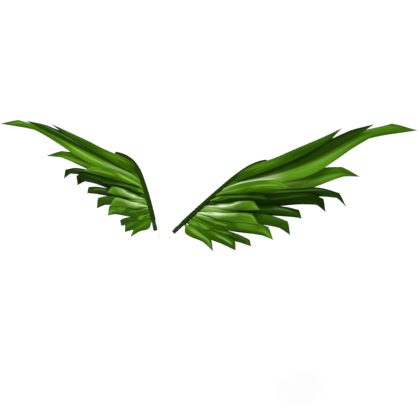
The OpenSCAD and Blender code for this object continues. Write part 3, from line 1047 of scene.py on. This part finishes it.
def make_blade(side, name, look, number, stem, material):
    """One leaf blade. Returns the line of the wire behind it, and which way is front there."""
    node = f"{side}_{name}"
    ridge, power = look["ridge"]
    x, upper, lower, n, crown = blade_stations(node, stem, look)
    v = np.sin(np.linspace(-1, 1, 2 * COLUMNS + 1) * math.pi / 2)
    height = ridge_height(v, ridge, power)
    flutes = FLUTE_DEPTH * np.cos(FLUTES * v + number) * (1 - v**2)
    skin = 0.5 * BLADE_T * np.sqrt(np.clip(1 - np.abs(v) ** EDGE_POWER, 0, 1))
    width = np.linalg.norm(upper - lower, axis=1)
    length = x[-1]
    points, blade, fibre = [], [], []
    seed = number * SEED_STEP + (LEFT_SEED if side == "left" else 0.0)
    last = len(x) - 1
    cols = len(v)

    def put(k, j, behind):
        f = v[j]
        middle = (upper[k] + lower[k]) / 2 + f * (upper[k] - lower[k]) / 2
        fade = min(1.0, width[k] / FULL_WIDTH)
        body = crown[k] * (height[j] + flutes[j] * fade)
        thick = skin[j] * min(1.0, THIN_TIP + width[k] / TIP_WIDTH)
        points.append(middle + (body - thick if behind else body + thick) * n[k])
        blade.append((x[k] / length, (f + 1) / 2, 1.0 if behind else 0.0))
        fibre.append((x[k], f * width[k] / 2, seed))

    around = 2 * cols - 2
    for k in range(last):
        for j in range(cols):
            put(k, j, False)
        for j in range(cols - 2, 0, -1):
            put(k, j, True)
    points.append((upper[last] + lower[last]) / 2)
    blade.append((1.0, 0.5, 0.0))
    fibre.append((x[last], 0.0, seed))
    faces = stitch(last, around)
    faces.append(tuple(reversed(range(around))))
    tip = last * around
    for j in range(around):
        faces.append(((last - 1) * around + j, (last - 1) * around + (j + 1) % around, tip))
    piece = mesh_piece(
        f"{side}_{name}_blade",
        points,
        outward(points, faces),
        material,
        side + "_wing",
        {"blade": blade, "fibre": fibre},
    )
    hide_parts(node)
    # The wire runs behind the middle of the blade.
    wired = x <= WIRED * length
    c = (upper + lower) / 2 + ((crown * height[COLUMNS])[:, None] - WIRE_LIFT) * n
    return c[wired], n[wired]


# ---------------------------------------------------------------- wires and tape

WIRE_R = 0.75 * MM
WIRE_GAP = 0.05 * MM
WIRE_LIFT = BLADE_T / 2 + WIRE_GAP + WIRE_R  # from the middle of the satin to the wire's
WIRE_SIDES = 12
DOME = ((0.9, 0.35), (0.55, 0.75))  # a wire's end: how far out and how wide, in radii


def tube(line, radius, up):
    """A round tube on a line, with domed ends: points, faces, and each point's place on it."""
    along = distances(line)
    run = np.gradient(line, axis=0)
    rings = [(0, -out * radius, size) for out, size in DOME]
    rings += [(k, 0.0, 1.0) for k in range(len(line))]
    rings += [(len(line) - 1, out * radius, size) for out, size in reversed(DOME)]
    points, marks = [], []
    for k, shift, size in rings:
        t = unit(run[k])
        u = unit(np.cross(t, up[k]))
        w = np.cross(u, t)
        for j in range(WIRE_SIDES):
            a = 2 * math.pi * j / WIRE_SIDES
            points.append(line[k] + shift * t + size * radius * (math.cos(a) * u + math.sin(a) * w))
            marks.append((along[k], radius * a, 0.0))
    faces = stitch(len(rings), WIRE_SIDES)
    faces.append(tuple(reversed(range(WIRE_SIDES))))
    base = (len(rings) - 1) * WIRE_SIDES
    faces.append(tuple(range(base, base + WIRE_SIDES)))
    return points, outward(points, faces), marks


def make_wires(side, lines, material):
    """All the leaf wires of one wing, as one piece."""
    points, faces, marks = [], [], []
    for line, up in lines:
        p, f, m = tube(line, WIRE_R, up)
        faces += [tuple(i + len(points) for i in face) for face in f]
        points += p
        marks += m
    piece = mesh_piece(
        side + "_wires_taped", points, faces, material, side + "_wing", {"fibre": marks}
    )
    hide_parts(side + "_leaf_wires")


TAPE_R = 6.0 * MM
TAPE_GROWTH = 1.3 * MM  # the tape goes on thicker past the socket, over the leaf wires
SOCKET_END = 31 * MM  # where that begins, from the foot
GROWTH_LEN = 8 * MM
TAPE_PITCH = 10.0 * MM
TAPE_STEP = 0.32 * MM  # how far a turn's raised edge stands over the next turn
TAPE_LAP = 0.07  # the part of a turn that the edge takes to step down
TAPE_SIDES = 36
TAPE_RING = 0.7 * MM  # between two rings of points
FOOT_BELOW = 1.4 * MM  # the tape closes over the core this far beyond its two ends
TOP_ABOVE = 1.8 * MM
FOOT_ROUND = 0.8 * MM  # the rounding of the tape's two ends
TOP_ROUND = 2.2 * MM
END_SIZE = 0.3  # width of the flat in the middle of an end, as a part of the tape's


def make_tape(side, line, material):
    """The taped stem: one long spiral of tape from the foot to the closed top."""
    foot, away = foot_of(side)
    top = unit(line[-1] - line[-2])
    line = np.vstack([foot - FOOT_BELOW * away, line, line[-1] + TOP_ABOVE * top])
    at = distances(line)
    x = np.linspace(0, at[-1], int(at[-1] / TAPE_RING))
    centre = spline(at, line, x)
    run = np.gradient(centre, axis=0)
    mirror = 1 if side == "right" else -1
    points, winding, marks = [], [], []
    for k, s in enumerate(x):
        t = unit(run[k])
        u = unit(np.cross((0, 0, 1), t))
        w = np.cross(t, u)
        rest = min(s / FOOT_ROUND, (at[-1] - s) / TOP_ROUND, 1.0)
        size = math.sqrt(max(0.0, 1 - (1 - rest) ** 2))
        size = END_SIZE + (1 - END_SIZE) * size
        full = TAPE_R + TAPE_GROWTH * min(max((s - SOCKET_END) / GROWTH_LEN, 0.0), 1.0)
        for j in range(TAPE_SIDES):
            a = 2 * math.pi * j / TAPE_SIDES
            turn = s / TAPE_PITCH - mirror * j / TAPE_SIDES
            phase = turn % 1.0
            edge = min(1.0, (1 - phase) / TAPE_LAP)
            under = 1 - phase if edge >= 1 else TAPE_LAP + (1 - TAPE_LAP) * (1 - edge)
            r = full - TAPE_STEP * under
            points.append(centre[k] + size * r * (math.cos(a) * u + math.sin(a) * w))
            angle = 2 * math.pi * phase - math.pi
            winding.append((math.cos(angle), math.sin(angle), s))
            marks.append((s, TAPE_R * a, 0.0))
    faces = stitch(len(x), TAPE_SIDES)
    faces.append(tuple(reversed(range(TAPE_SIDES))))
    base = (len(x) - 1) * TAPE_SIDES
    faces.append(tuple(range(base, base + TAPE_SIDES)))
    piece = mesh_piece(
        side + "_stem_tape",
        points,
        outward(points, faces),
        material,
        side + "_wing",
        {"winding": winding, "fibre": marks},
    )
    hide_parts(side + "_stem_wrap", side + "_foot_sleeve")


# ---------------------------------------------------------------- building

STEM_POINTS = 400  # points on a stem's centre line, for finding the nearest one


def dress(node, material):
    """Puts a material on a CAD node that is shown as it is."""
    me = NODES[node].data
    me.materials.clear()
    me.materials.append(material)


def build_object():
    """Dresses the CAD nodes that are shown, and builds the pieces that replace the rest."""
    tape, wire = tape_material(), wire_material()
    clear, nylon, steel = clear_material(), nylon_material(), steel_material()
    dress("back_plate", clear)
    for side in SIDES:
        stem = stem_line(side)
        at = distances(stem)
        dense = spline(at, stem, np.linspace(0, at[-1], STEM_POINTS))
        lines = []
        for number, (name, look) in enumerate(LEAVES.items()):
            dyed_and_lit = leaf_material(f"{side}_{name}", look if side == "right" else left_look(look))
            lines.append(make_blade(side, name, look, number, dense, dyed_and_lit))
        make_wires(side, lines, wire)
        make_tape(side, stem, tape)
        dress(side + "_socket", clear)
        dress(side + "_stem_core", steel)
        for name in ("hinge_pin", "pin_cap", "lock_screw"):
            dress(f"{side}_{name}", nylon)


# ---------------------------------------------------------------- studio


FLOOR_SIZE = 30.0  # in metres, as is how far below the wings it lies
FLOOR_DOWN = 1.0
FLOOR_CELLS = 8
SOFT_LIGHT = 0.25  # the studio's light from all round
BACKDROP = 1.05  # how bright the background is to the camera
SUN_AWAY = 3.0  # in metres
# Where each light shines from, how bright it is, and how wide in degrees.
SUNS = {
    "key": ((-0.15, -0.75, 1.0), 3.1, 22),
    "fill": ((0.9, -1.0, 0.25), 0.6, 50),
    "back": ((0.0, 0.8, 1.0), 0.6, 50),
}


def lay_floor():
    bpy.ops.mesh.primitive_grid_add(
        x_subdivisions=FLOOR_CELLS, y_subdivisions=FLOOR_CELLS, size=FLOOR_SIZE
    )
    floor = bpy.context.object
    floor.name = "floor"
    floor.location = (0, 0, CAD_BOX[0].z - FLOOR_DOWN)
    floor.data.materials.append(floor_material())


def light_world():
    """Soft white light from all round, and a white background for the camera."""
    world = bpy.data.worlds.new("studio")
    bpy.context.scene.world = world
    world.use_nodes = True
    nodes, links = world.node_tree.nodes, world.node_tree.links
    soft = nodes["Background"]
    soft.inputs["Color"].default_value = (1, 1, 1, 1)
    soft.inputs["Strength"].default_value = SOFT_LIGHT
    white = nodes.new("ShaderNodeBackground")
    white.inputs["Color"].default_value = (1, 1, 1, 1)
    white.inputs["Strength"].default_value = BACKDROP
    path = nodes.new("ShaderNodeLightPath")
    mix = nodes.new("ShaderNodeMixShader")
    links.new(path.outputs["Is Camera Ray"], mix.inputs[0])
    links.new(soft.outputs[0], mix.inputs[1])
    links.new(white.outputs[0], mix.inputs[2])
    links.new(mix.outputs[0], nodes["World Output"].inputs["Surface"])


def hang_sun(name, direction, energy, width):
    """A sun that shines from the given direction towards the origin."""
    data = bpy.data.lights.new(name, "SUN")
    data.energy = energy
    data.angle = math.radians(width)
    light = bpy.data.objects.new(name, data)
    away = Vector(direction).normalized()
    light.location = away * SUN_AWAY
    light.rotation_mode = "QUATERNION"
    light.rotation_quaternion = (-away).to_track_quat("-Z", "Y")
    bpy.context.scene.collection.objects.link(light)


def build_studio():
    lay_floor()
    light_world()
    for name, sun in SUNS.items():
        hang_sun(name, *sun)
    bpy.context.scene.view_settings.view_transform = "Standard"


make_camera()
build_object()
build_studio()
